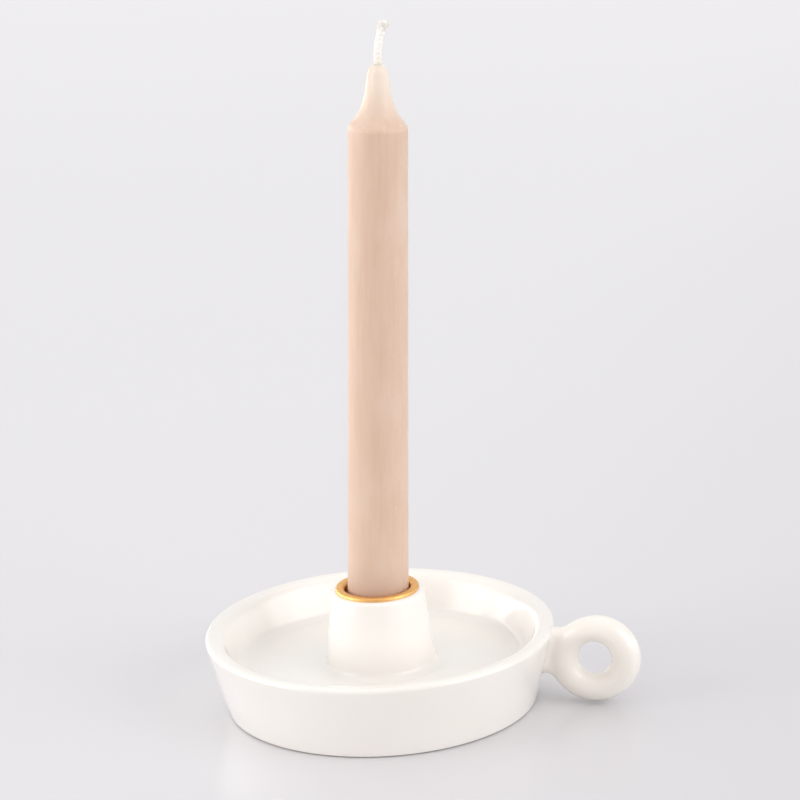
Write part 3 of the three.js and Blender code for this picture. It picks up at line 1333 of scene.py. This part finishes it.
    def _neck(self, dish: Dish) -> Workpiece:
        """Fills the neck's outline and raises it on both sides with rounded edges.

        Args:
            dish: The dish whose wall it meets.

        Returns:
            The closed workpiece.
        """
        half = self.neck_core / 2
        work = Workpiece.line("ring_neck", [Vector((x, -half, z)) for x, z in self._neck_outline(dish)])
        bpy.ops.mesh.select_all(action="SELECT")
        bpy.ops.mesh.edge_face_add()
        work.extrude(Vector((0, self.neck_core, 0)))
        bpy.ops.mesh.select_all(action="SELECT")
        bpy.ops.mesh.normals_make_consistent(inside=False)
        rise = self.neck_thickness / 2 - half
        for side in (-1, 1):
            work.select(lambda middle, side=side: middle.y * side > half - WELD, Part.FACES)
            for k in range(self.neck_steps):
                now, then = (math.pi / 2 * j / self.neck_steps for j in (k, k + 1))
                bpy.ops.mesh.inset(
                    thickness=self.neck_edge * (math.cos(now) - math.cos(then)) * MM,
                    depth=rise * (math.sin(then) - math.sin(now)) * MM,
                    use_boundary=True, use_even_offset=False,
                )
        work.close()
        return work

    def build(self, dish: Dish) -> bpy.types.Object:
        """Joins ring and neck, melts them together, flares the joint and lacquers the piece.

        Args:
            dish: The dish whose wall it is fixed to.

        Returns:
            The finished ring.
        """
        work = self._round()
        work.join([self._neck(dish)])
        work.shape.name = "finger_ring"
        work.modify("REMESH", mode="VOXEL", voxel_size=self.voxel * MM, adaptivity=0.0)
        work.modify("SMOOTH", factor=0.5, iterations=self.smoothing)

        def joint(place: Vector) -> float:
            """Gives 1 at the wall, fading away from it."""
            away = (place.x - dish.wall_radius(place.z)) * math.cos(dish.slope)
            return math.exp(-((max(0.0, away) / self.fillet_reach) ** self.fillet_power))

        work.swell(self.fillet, joint)
        middle = (self.neck_top + self.neck_bottom) / 2
        wall = Vector((dish.wall_radius(middle) - self.joint_depth, 0, middle))
        work.slice(wall, Vector((math.cos(dish.slope), 0, -math.sin(dish.slope))))
        work.bore(PegDrill(dish.peg_play).bit(after=dish.peg_play))
        return work.finish(self.finish, Slot.LACQUER, Body.HOLDER, "handle_ring")


@dataclass
class FluteDowel:
    """The glued peg that holds the ring's neck to the wall: fluted, with chamfered ends."""

    flutes: int = 14
    sides_each: int = 4
    flute_depth: float = 0.28
    chamfer: float = 0.6

    def build(self) -> bpy.types.Object:
        """Extrudes the fluted section along X.

        Returns:
            The finished dowel.
        """
        low, high = span("handle_dowel")
        radius, length = (high.z - low.z) / 2, high.x - low.x
        work = Workpiece.circle("fluted_dowel", radius, self.flutes * self.sides_each, Vector())

        def in_flute(place: Vector) -> bool:
            """Says whether a rim vertex is at the bottom of a flute."""
            turn = math.atan2(place.y, place.x) / FULL_TURN * self.flutes
            return abs(turn - round(turn)) < 0.5 / self.sides_each

        work.select(in_flute, Part.POINTS)
        work.widen(1 - self.flute_depth / radius, Vector())
        bpy.ops.mesh.select_all(action="SELECT")
        small = 1 - self.chamfer / radius
        work.widen(small, Vector())
        centre = Vector()
        for rise, share in (
            (self.chamfer, 1 / small), (length - 2 * self.chamfer, 1.0), (self.chamfer, small)
        ):
            step = Vector((0, 0, rise))
            centre = centre + step
            work.extrude(step)
            work.widen(share, centre)
        work.close()
        work.shape.rotation_euler = (0, math.pi / 2, 0)
        work.shape.location = Vector((low.x, 0, (low.z + high.z) / 2)) * MM
        return work.finish(Beech(), Slot.BEECH, Body.HOLDER, "handle_dowel")


@dataclass
class FeltPad:
    """The felt disc let into the underside, with a soft cut edge and a matted face."""

    edge_round: float = 0.45
    edge_facets: int = 4
    nap_depth: float = 0.09
    nap_grain: float = 1.5
    facet: float = 1.25
    steps: int = 180

    def build(self) -> bpy.types.Object:
        """Turns the disc and roughens its edge and faces.

        Returns:
            The finished felt.
        """
        low, high = span("felt_pad")
        corners = [
            Corner(0, low.z + self.nap_depth),
            Corner(high.x, low.z + self.nap_depth, self.edge_round),
            Corner(high.x, high.z, self.edge_round),
            Corner(0, high.z),
        ]
        outline = divided(rounded(corners, self.edge_facets), self.facet)
        work = Workpiece.turned("felt_disc", outline, self.steps)
        work.waver(self.nap_depth, self.nap_grain)
        return work.finish(Felt(), Slot.FELT, Body.HOLDER, "felt_pad")


# ---- the brass fittings


@dataclass
class BrassCup:
    """The drawn cup: a thin wall and a thick rounded flange that lies on the post's top."""

    inner: float = 11.85
    wall: float = 0.6
    flange_width: float = 2.65
    seat_gap: float = 0.03
    edge_round: float = 1.0
    mouth_round: float = 2.2
    bottom_round: float = 1.8
    under_round: float = 0.15
    hole: float = 1.7
    waver_depth: float = 0.02
    waver_grain: float = 7.0
    sharp: float = 50.0
    steps: int = 112

    @property
    def outer(self) -> float:
        """The outside radius of the cup's wall."""
        return self.inner + self.wall

    def outline(self) -> Outline:
        """Draws the sheet's section from the hole in its floor, out, up, over and back inside.

        Returns:
            The outline's points.
        """
        low, high = span("candle_cup")
        rim = self.outer + self.flange_width
        under = span("socket_post")[1].z - SocketPost().land_fall + self.seat_gap
        floor = low.z + self.wall
        return rounded([
            Corner(self.hole, low.z),
            Corner(self.outer, low.z, self.bottom_round + self.wall),
            Corner(self.outer, under, self.under_round),
            Corner(rim, under),
            Corner(rim, high.z, self.edge_round),
            Corner(self.inner, high.z, self.mouth_round),
            Corner(self.inner, floor, self.bottom_round),
            Corner(self.hole, floor),
            Corner(self.hole, low.z),
        ])

    def build(self) -> bpy.types.Object:
        """Spins the cup.

        Returns:
            The finished cup.
        """
        work = Workpiece.turned("brass_cup", self.outline(), self.steps)
        work.waver(self.waver_depth, self.waver_grain)
        return work.finish(Brass(), Slot.BRASS, Body.HOLDER, "candle_cup", self.sharp)


@dataclass
class CupScrew:
    """The round-headed brass screw in the cup's floor: a domed slotted head and a threaded shank."""

    head_radius: float = 3.1
    head_rise: float = 1.3
    head_edge: float = 0.35
    head_facets: int = 7
    head_lip: float = 0.1
    shank_radius: float = 1.15
    point_share: float = 0.55
    point_run: Run = (1.1, 2.4)
    pitch: float = 1.1
    thread_reach: float = 1.2
    thread_radius: float = 0.3
    thread_sides: int = 6
    thread_steps: int = 18
    thread_ends: Run = (0.6, 1.6)
    thread_start: float = 0.25
    thread_growth: float = 3.0
    slot_width: float = 0.75
    slot_depth: float = 0.65
    slot_turn: float = 24.0
    sharp: float = 30.0
    steps: int = 56

    def _blank(self, low: Vector, high: Vector) -> Workpiece:
        """Turns the head and the shank.

        Args:
            low: The screw's lowest corner.
            high: The screw's highest corner.

        Returns:
            The closed workpiece.
        """
        seat = high.z - self.head_rise
        angles = [math.pi / 2 * k / self.head_facets for k in range(self.head_facets)]
        dome = [
            (self.head_radius * math.cos(a), seat + self.head_rise * (
                self.head_edge + (1 - self.head_edge) * math.sin(a)))
            for a in angles
        ]
        outline = [
            (0, low.z),
            (self.shank_radius * self.point_share, low.z + self.point_run[0]),
            (self.shank_radius, low.z + self.point_run[1]),
            (self.shank_radius, seat),
            (self.head_radius - self.head_lip, seat),
            *dome,
            (0, high.z),
        ]
        return Workpiece.turned("cup_screw_turned", outline, self.steps)

    def _thread(self, low: Vector, high: Vector) -> Workpiece:
        """Sweeps a thin ridge round the shank.

        Args:
            low: The screw's lowest corner.
            high: The screw's highest corner.

        Returns:
            The closed workpiece.
        """
        start, end = low.z + self.thread_ends[0], high.z - self.head_rise - self.thread_ends[1]
        turns = (end - start) / self.pitch

        def ridge(share: float) -> Vector:
            """Follows the thread's helix, which grows out of the point.

            Args:
                share: The share of the way.

            Returns:
                The middle of the ridge there.
            """
            turn = FULL_TURN * turns * share
            out = self.thread_reach * min(1.0, self.thread_start + share * self.thread_growth)
            return Vector((math.cos(turn) * out, math.sin(turn) * out, start + (end - start) * share))

        strand = Strand(self.thread_radius, self.thread_sides, round(turns * self.thread_steps))
        return Workpiece.rod("thread", strand, ridge)

    def build(self) -> bpy.types.Object:
        """Turns the screw, cuts its slot and adds its thread.

        Returns:
            The finished screw.
        """
        low, high = span("cup_screw")
        work = self._blank(low, high)
        Workpiece.clear()
        bpy.ops.mesh.primitive_cube_add(size=1, location=(0, 0, high.z * MM))
        cutter = Workpiece("slot_cutter")
        cutter.shape.scale = Vector((3 * self.head_radius, self.slot_width, 2 * self.slot_depth)) * MM
        cutter.shape.rotation_euler.z = math.radians(self.slot_turn)
        cutter.settle()
        work.bore(cutter)
        work.join([self._thread(low, high)])
        return work.finish(Brass("screw_brass"), Slot.BRASS, Body.HOLDER, "cup_screw", self.sharp)


# ---- the candle


@dataclass
class DinnerCandle:
    """The dinner candle: a slim taper with a pressed shoulder, a drawn tip and a bore for its wick.

    The pairs named edge, pull and meniscus place points of the tip's outline: how far across from
    the radius that they go with, and how far along the candle.
    """

    foot_radius: float = 11.0
    foot_run: float = 14.0
    shoulder_radius: float = 10.42
    shoulder_height: float = 184.2
    shoulder_edge: Run = (1.3, 1.35)
    shoulder_pull: Run = (2.9, 3.0)
    tip_rise: float = 21.1
    neck_radius: float = 4.6
    neck_rise: float = 11.2
    neck_pull: Run = (0.95, 6.2)
    top_radius: float = 3.6
    top_round: float = 3.0
    top_pull: Run = (0.3, 0.45)
    crown_pull: float = 1.5
    meniscus: Run = (0.2, 0.7)
    well: float = 0.9
    wick_radius: float = 1.3
    foot_round: float = 0.8
    shoulder_round: float = 3.0
    swell_facets: int = 14
    dome_facets: int = 12
    flute_depth: float = 0.16
    flute_width: float = 0.2
    flute_turns: Triple = (-2.3, -0.6, 1.4)
    flute_start: Run = (2.5, 8.5)
    flute_end: Run = (1.5, 5.5)
    waver_depth: float = 0.05
    waver_grain: float = 9.0
    waver_beyond: float = 2.5
    facet: float = 2.4
    steps: int = 120
    foot: Vector = field(init=False)
    axis: Vector = field(init=False)

    def __post_init__(self) -> None:
        """Takes the candle's axis from its joint and its foot from the frame."""
        self.axis = Vector(frame["joints"][0]["axis"]).normalized()
        low = span("candle")[0]
        sideways, upwards = math.cos(self.lean), math.sin(self.lean)
        self.foot = Vector((low.x + self.foot_radius * sideways, 0, low.z + self.foot_radius * upwards))

    @property
    def lean(self) -> float:
        """The candle's lean towards the ring, in radians."""
        return math.atan2(self.axis.x, self.axis.z)

    @property
    def length(self) -> float:
        """The wax's length."""
        return self.shoulder_height + self.tip_rise

    def outline(self) -> Outline:
        """Draws the candle's section from its bore at the foot, out, up and back to the bore.

        Returns:
            The outline's points.
        """
        top, shoulder, bore = self.length, self.shoulder_height, self.wick_radius
        edge = (self.shoulder_radius - self.shoulder_edge[0], shoulder + self.shoulder_edge[1])
        body = rounded([
            Corner(bore, 0),
            Corner(self.foot_radius, 0, self.foot_round),
            Corner(self.foot_radius, self.foot_run),
            Corner(self.shoulder_radius, shoulder, self.shoulder_round),
            Corner(*edge),
        ])
        swell = bezier([
            edge,
            (self.shoulder_radius - self.shoulder_pull[0], shoulder + self.shoulder_pull[1]),
            (self.neck_radius + self.neck_pull[0], shoulder + self.neck_pull[1]),
            (self.neck_radius, shoulder + self.neck_rise),
        ], self.swell_facets)
        dome = bezier([
            (self.top_radius, top - self.top_round),
            (self.top_radius - self.top_pull[0], top - self.top_pull[1] * self.top_round),
            (self.top_radius - self.crown_pull, top),
            (bore - self.meniscus[0], top + self.meniscus[1]),
        ], self.dome_facets)
        return [*body, *swell[1:], *dome, (bore, top - self.well), (bore, 0)]

    def _flute(self, place: Vector) -> float:
        """Gives the share of the flutes' depth on the tip at a place: three soft hollows.

        Args:
            place: A place on the tip.

        Returns:
            The share there.
        """
        start = climb(place.z - self.shoulder_height, *self.flute_start)
        end = climb(self.length - place.z, *self.flute_end)
        turn = math.atan2(place.y, place.x)
        away = [math.remainder(turn - flute, FULL_TURN) / self.flute_width for flute in self.flute_turns]
        return start * end * sum(math.exp(-(a**2)) for a in away)

    def build(self) -> bpy.types.Object:
        """Turns the candle, makes its tip uneven and leans it in its cup.

        Returns:
            The finished candle.
        """
        work = Workpiece.turned("dinner_candle", divided(self.outline(), self.facet), self.steps)
        work.swell(-self.flute_depth, self._flute)
        work.waver(
            self.waver_depth, self.waver_grain,
            lambda place: float(math.hypot(place.x, place.y) > self.waver_beyond),
        )
        work.shape.rotation_euler.y = self.lean
        work.shape.location = self.foot * MM
        finish = Wax(foot=self.foot, lean=self.lean, shoulder=self.shoulder_height)
        return work.finish(finish, Slot.WAX, Body.CANDLE, "candle")


@dataclass
class BraidedWick:
    """The wick: yarns plaited round a core, bent over and frayed at its cut end.

    Shares of the way count from 0 at the wax to 1 at the cut end, and from a fibre's root to its tip.
    """

    yarns: int = 4
    core: Strand = Strand(1.12, 14, 60)
    core_top: float = 0.94
    yarn: Strand = Strand(0.68, 7, 96, 0.15, 4)
    braid_radius: float = 0.70
    weave_depth: float = 0.06
    lay: float = 6.4
    waxed_run: float = 2.0
    exposed: float = 14.2
    bend: float = 1.75
    bend_power: float = 2.4
    side_bend: float = 0.35
    lean_back: float = 0.25
    lean_turn: float = 1.25
    flare: float = 0.5
    flare_from: float = 0.6
    fibres: int = 150
    fibre: Strand = Strand(0.15, 5, 7, 0.4)
    fibre_length: float = 3.4
    fibre_rooted: float = 0.7
    fibre_least: float = 0.55
    fibre_reach: Triple = (1.25, 0.6, 0.3)
    fibre_curl: float = 0.5
    fibre_drift: float = 0.4
    length_beat: float = 2.17
    curl_beat: float = 1.3
    droop: float = 0.35
    sharp: float = 60.0

    def _centre(self, rise: float) -> Vector:
        """Gives the wick's centre at a height above the wax.

        Args:
            rise: The height.

        Returns:
            The centre.
        """
        share = max(0.0, rise) / self.exposed
        back = self.lean_back * math.sin(math.pi * min(1.0, share * self.lean_turn)) * share
        sway = self.bend * share**self.bend_power - back
        return Vector((sway, self.side_bend * self.bend * share**3, rise))

    def _yarn(self, way: int, phase: float) -> Workpiece:
        """Plaits one yarn, which passes over and under those that go the other way.

        Args:
            way: 1 or -1, the way it winds.
            phase: Where it starts, in radians.

        Returns:
            The closed workpiece.
        """
        run = self.waxed_run + self.exposed

        def path(share: float) -> Vector:
            """Follows the yarn.

            Args:
                share: The share of the way.

            Returns:
                The yarn's centre there.
            """
            rise = share * run - self.waxed_run
            wound = FULL_TURN * share * run / self.lay
            turn = way * wound + phase
            over = way * math.cos(self.yarns * wound)
            spread = 1.0 + self.flare * climb(rise / self.exposed, self.flare_from, 1.0) ** 2
            out = (self.braid_radius + self.weave_depth * over) * spread
            return self._centre(rise) + Vector((math.cos(turn) * out, math.sin(turn) * out, 0))

        return Workpiece.rod("yarn", self.yarn, path)

    def _fray(self, number: int) -> Workpiece:
        """Splays one loose fibre out of the cut end.

        Args:
            number: Which fibre, from 0.

        Returns:
            The closed workpiece.
        """
        turn = number * GOLDEN_TURN
        out = math.sqrt((number + 0.5) / self.fibres)
        droop = 1.0 - self.droop * out * max(0.0, math.cos(turn))
        grown = self.fibre_least + (1 - self.fibre_least) * abs(math.sin(number * self.length_beat))
        tall = self.fibre_length * grown * droop
        start = self.exposed - self.fibre_rooted * self.fibre_length
        root, tip = self._centre(start), self._centre(self.exposed)

        def path(share: float) -> Vector:
            """Follows the fibre, which curls away from the middle.

            Args:
                share: The share of the way.

            Returns:
                The fibre's centre there.
            """
            near, spread, flick = self.fibre_reach
            reach = out * (near + spread * share + flick * share * share)
            curl = turn + self.fibre_curl * share * math.sin(number * self.curl_beat)
            base = root + (tip - root) * share
            drift = self.fibre_drift * share * share
            return Vector((
                base.x + math.cos(curl) * reach + drift,
                base.y + math.sin(curl) * reach,
                start + tall * share,
            ))

        return Workpiece.rod("fibre", self.fibre, path)

    def build(self, candle: DinnerCandle) -> bpy.types.Object:
        """Plaits the wick, frays it, runs its core down to the candle's foot and leans it.

        Args:
            candle: The candle that it stands in.

        Returns:
            The finished wick.
        """
        foot = span("wick")[0].z - candle.foot.z - candle.length
        top = self.core_top * self.exposed
        core = Workpiece.rod(
            "braided_wick", self.core, lambda share: self._centre(foot + (top - foot) * share)
        )
        phases = [FULL_TURN / self.yarns * k for k in range(self.yarns)]
        rights = [self._yarn(1, phase) for phase in phases]
        lefts = [self._yarn(-1, math.pi / self.yarns + phase) for phase in phases]
        core.join([*rights, *lefts, *(self._fray(k) for k in range(self.fibres))])
        core.shape.name = "braided_wick"
        core.shape.rotation_euler.y = candle.lean
        core.shape.location = (candle.foot + candle.axis * candle.length) * MM
        finish = Cotton(wax_line=candle.foot.z + candle.length * candle.axis.z)
        return core.finish(finish, Slot.COTTON, Body.CANDLE, "wick", self.sharp)


# ---- the studio


@dataclass(frozen=True)
class Softbox:
    """A large soft light far off: where it stands and its width and height, in degrees."""

    bearing: float
    strength: float
    height: float = 26.0
    width: float = 27.0
    tall: float = 34.0


@dataclass(frozen=True)
class Glow:
    """A broad soft light from one side, between the horizon and a ceiling.

    Directions count from -1 to 1: along the bearing for the sides, upwards for the ceiling.
    """

    bearing: float
    sides: Run
    ceiling: Run
    strength: float


@dataclass
class Studio:
    """The pale floor, the soft light round it and the camera."""

    floor_size: float = 14.0
    floor_colour: Colour = (0.883, 0.879, 0.894)
    # Painted light: the floor is lighter far off.
    floor_far_painted_light: Colour = (0.918, 0.911, 0.929)
    floor_far_run: Run = (300.0, 2600.0)
    # Painted shade: the floor is darker towards the right.
    floor_right_painted_shade: Colour = (0.780, 0.771, 0.792)
    floor_right_run: Run = (-150.0, 450.0)
    floor_right_skew: float = 0.1
    floor_right_share: float = 0.6
    floor_roughness: float = 0.2
    sky: float = 0.305
    overhead: float = 0.66
    overhead_run: Run = (0.55, 1.0)
    horizon: Run = (-0.12, 0.03)
    sky_colour: Colour = (1.0, 1.0, 1.0)
    front_colour: Colour = (1.0, 0.978, 0.955)
    front_run: Run = (-0.2, 0.95)
    box_colour: Colour = (0.988, 0.986, 0.986)
    box_edge: float = 0.12
    box_ahead: Run = (0.0, 0.05)
    backdrop: Colour = (0.915, 0.912, 0.922)
    camera_place: Triple = (0.19812, -0.93207, 0.37991)
    camera_aim: Triple = (0.0120, 0.0, 0.11262)
    camera_roll: float = -3.005
    camera_reach: float = 100.0
    lens: float = 125.955
    sensor: float = 36.0
    right_front: Softbox = Softbox(-25.0, 2.25)
    right_side: Softbox = Softbox(0.0, 1.85)
    left_front: Softbox = Softbox(205.0, 2.35)
    left_side: Softbox = Softbox(180.0, 0.65)
    front: Glow = Glow(-78.0, (0.0, 0.97), (2.0, 3.0), 0.45)
    back: Glow = Glow(102.0, (0.0, 0.97), (2.0, 3.0), 0.54)
    low_left: Glow = Glow(180.0, (0.4, 0.95), (0.05, 0.35), 4.0)
    low_right: Glow = Glow(0.0, (0.4, 0.95), (0.05, 0.35), 1.45)

    def build_camera(self) -> None:
        """Stands the camera in front of the ring's side, with a slight roll."""
        lens = bpy.data.cameras.new("camera")
        lens.lens = self.lens
        lens.sensor_width = self.sensor
        lens.clip_end = self.camera_reach
        camera = bpy.data.objects.new("camera", lens)
        bpy.context.scene.collection.objects.link(camera)
        facing = (Vector(self.camera_aim) - Vector(self.camera_place)).to_track_quat("-Z", "Y")
        camera.rotation_mode = "QUATERNION"
        camera.rotation_quaternion = facing @ Quaternion((0, 0, 1), math.radians(self.camera_roll))
        camera.location = self.camera_place
        bpy.context.scene.camera = camera

    def build_floor(self) -> None:
        """Lays a wide pale floor with a slight gloss, painted lighter far off and darker towards the right:
        painted light and painted shade.
        """
        Workpiece.clear()
        bpy.ops.mesh.primitive_plane_add(size=self.floor_size, location=(0, 0, 0))
        floor = bpy.context.object
        floor.name = "floor"
        made = bpy.data.materials.new("floor")
        recipe = Recipe(made)
        x, y, _ = recipe.axes(recipe.place())
        # Painted light far off, then painted shade towards the right.
        tone = recipe.blend(y.above(*self.floor_far_run), self.floor_colour, self.floor_far_painted_light)
        across = (x - y * self.floor_right_skew).above(*self.floor_right_run)
        tone = recipe.blend(across * self.floor_right_share, tone, self.floor_right_painted_shade)
        recipe.surface({"Base Color": tone, "Roughness": self.floor_roughness})
        floor.data.materials.append(made)

    def _box_share(self, recipe: Recipe, way: Signal, box: Softbox) -> Signal:
        """Gives a softbox's soft-edged shape in the sky.

        Args:
            recipe: The surroundings' recipe.
            way: The direction of view.
            box: The softbox.

        Returns:
            1 inside it and 0 outside.
        """
        turned = recipe.turned(way, (0.0, 0.0, -math.radians(box.bearing)))
        tipped = recipe.turned(turned, (0.0, math.radians(box.height), 0.0))
        ahead, across, up = recipe.axes(tipped)
        share = ahead.above(*self.box_ahead)
        for offset, angle in ((across, box.width), (up, box.tall)):
            half = math.tan(math.radians(angle / 2))
            outside = (offset / ahead).size().above(half - self.box_edge, half + self.box_edge)
            share = share * (1.0 - outside)
        return share

    def build_light(self) -> None:
        """Surrounds the scene with soft light: a faint sky, broad glows and softboxes at the sides."""
        world = bpy.data.worlds.new("studio")
        bpy.context.scene.world = world
        recipe = Recipe(world)
        way = recipe.node("ShaderNodeTexCoord", out="Generated")
        x, y, z = recipe.axes(way)
        level = z.above(*self.overhead_run) * self.overhead + self.sky
        for glow in (self.front, self.back, self.low_left, self.low_right):
            turn = math.radians(glow.bearing)
            beside = (x * math.cos(turn) + y * math.sin(turn)).above(*glow.sides)
            height = z.above(*self.horizon) * (1.0 - z.above(*glow.ceiling))
            level = level + beside * height * glow.strength
        tone = recipe.blend((y * -1.0).above(*self.front_run), self.sky_colour, self.front_colour)
        for box in (self.right_front, self.right_side, self.left_front, self.left_side):
            share = self._box_share(recipe, way, box)
            level = level + share * box.strength
            tone = recipe.blend(share, tone, self.box_colour)
        lit = recipe.node("ShaderNodeBackground", sockets={"Color": tone, "Strength": level})
        plain = {"Color": linear(self.backdrop), "Strength": 1.0}
        seen = recipe.node("ShaderNodeBackground", sockets=plain)
        ray = recipe.node("ShaderNodeLightPath", out="Is Camera Ray")
        mixed = recipe.node("ShaderNodeMixShader", sockets={0: ray, 1: lit, 2: seen})
        recipe.node("ShaderNodeOutputWorld", sockets={"Surface": mixed})

    def build(self) -> None:
        """Sets up the whole studio."""
        bpy.context.scene.view_settings.view_transform = "Standard"
        self.build_camera()
        self.build_floor()
        self.build_light()


def report(piece: bpy.types.Object) -> None:
    """Logs a finished piece's name, faces and size."""
    size = piece.dimensions / MM
    log.info("%s: %d faces, %.1f x %.1f x %.1f mm", piece.name, len(piece.data.polygons), *size)


def main() -> None:
    """Builds the studio and each sub-assembly in order, and reports every piece."""
    logging.basicConfig(level=logging.INFO, format="%(name)s: %(message)s")
    Studio().build()
    dish = Dish()
    report(dish.build())
    report(SocketPost().build(dish))
    report(FingerRing().build(dish))
    for fitting in (FluteDowel(), FeltPad(), BrassCup(), CupScrew()):
        report(fitting.build())
    candle = DinnerCandle()
    report(candle.build())
    report(BraidedWick().build(candle))


if __name__ == "__main__":
    main()
